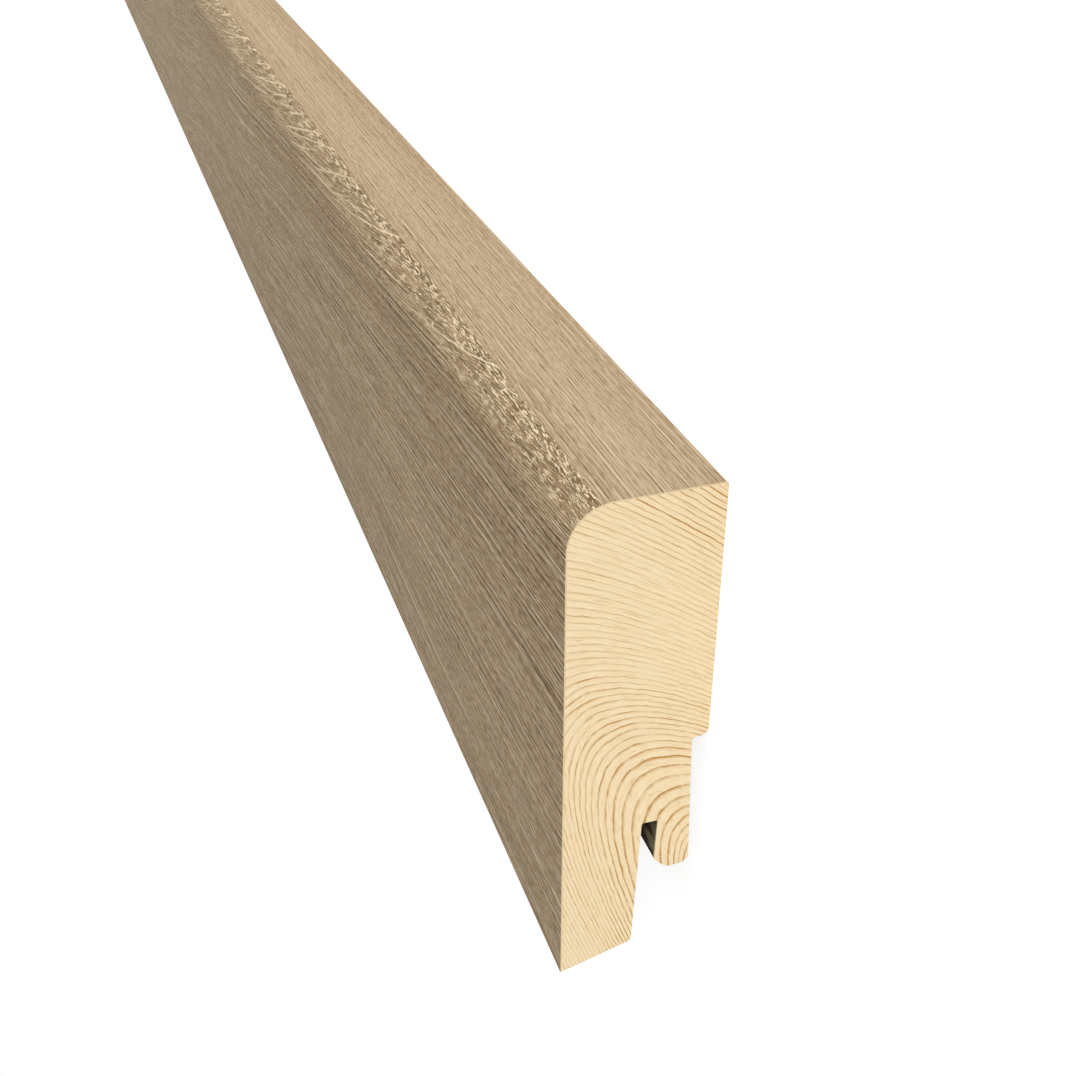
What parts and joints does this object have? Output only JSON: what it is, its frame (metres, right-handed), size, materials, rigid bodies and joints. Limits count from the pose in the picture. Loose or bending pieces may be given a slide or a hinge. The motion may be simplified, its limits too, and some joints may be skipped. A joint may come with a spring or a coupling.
{
  "type": "skirting board length",
  "caption": "Straight length of wrapped softwood skirting board with a rounded top edge, a recessed back and a slot for fixing clips.",
  "frame": {"origin": "middle of the board's length and height, on the plane of the wall face that the board lies on", "axes": "+X from the toe to the top edge, +Y along the board, +Z out of the decor face"},
  "size_m": [0.06, 2.4, 0.016],
  "materials": {
    "pine": "machined bare softwood with sawn ends",
    "oak_decor": "thin printed oak decor foil with a matt lacquer"
  },
  "bodies": {
    "root": {"softwood_core": "pine", "decor_foil": "oak_decor"}
  },
  "joints": []
}
